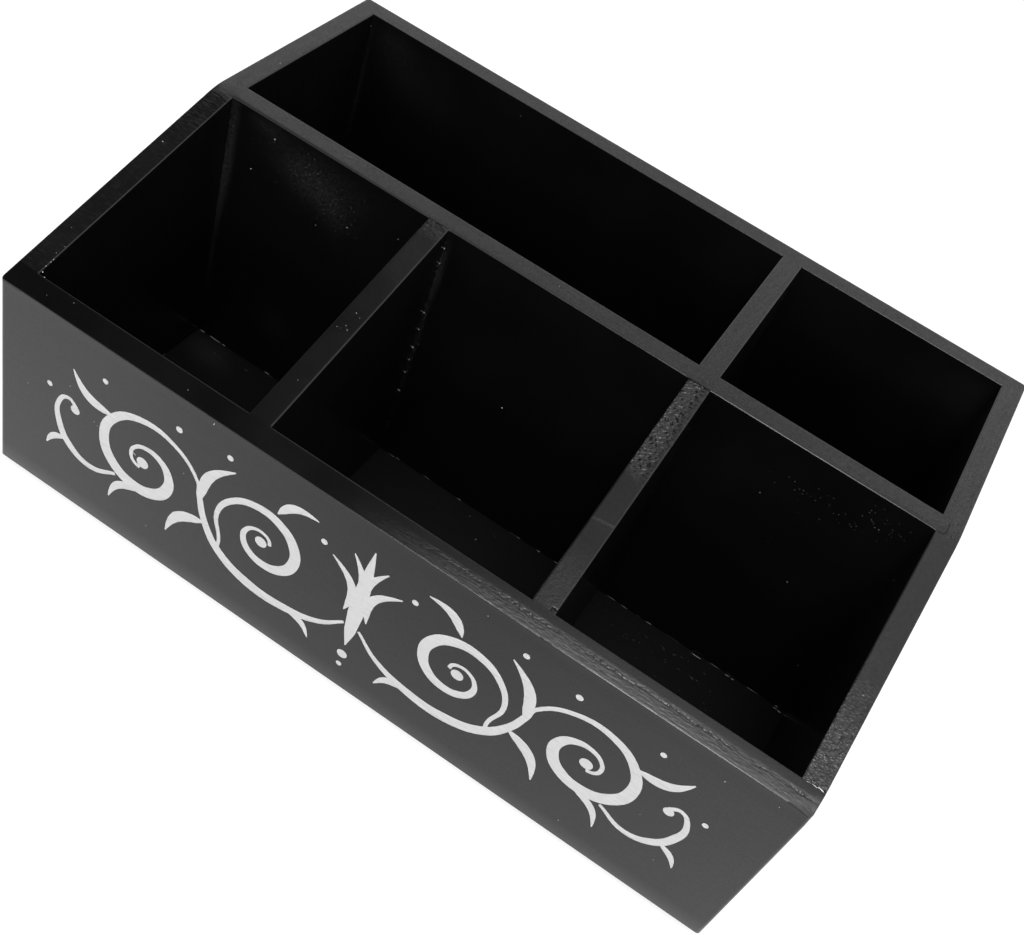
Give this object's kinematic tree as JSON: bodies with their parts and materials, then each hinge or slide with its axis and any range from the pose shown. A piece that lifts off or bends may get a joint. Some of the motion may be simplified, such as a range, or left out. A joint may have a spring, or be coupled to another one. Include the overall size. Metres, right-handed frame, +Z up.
{
  "type": "coffee station organizer",
  "caption": "Black painted wooden desktop organizer with open compartments, a low sloping front and a level back.",
  "frame": {"origin": "on the table under the middle of the box", "axes": "+X along the width to the right as seen from the front, +Y from the low front to the high back, +Z up"},
  "size_m": [0.3, 0.201, 0.119],
  "materials": {
    "black_paint": "satin black paint on wood, fine grain showing through",
    "base_paint": "thin flat black paint on a thin board",
    "silver_paint": "thin screen-printed silver paint on the front, finely streaked along the grain",
    "brad_steel": "bright steel brads"
  },
  "bodies": {
    "root": {"front_panel": "black_paint", "back_panel": "black_paint", "left_side_panel": "black_paint", "right_side_panel": "black_paint", "centre_divider": "black_paint", "front_left_divider": "black_paint", "front_right_divider": "black_paint", "rear_cross_divider": "black_paint", "base_board": "base_paint", "wall_brads": "brad_steel", "base_brads": "brad_steel"}
  },
  "joints": []
}
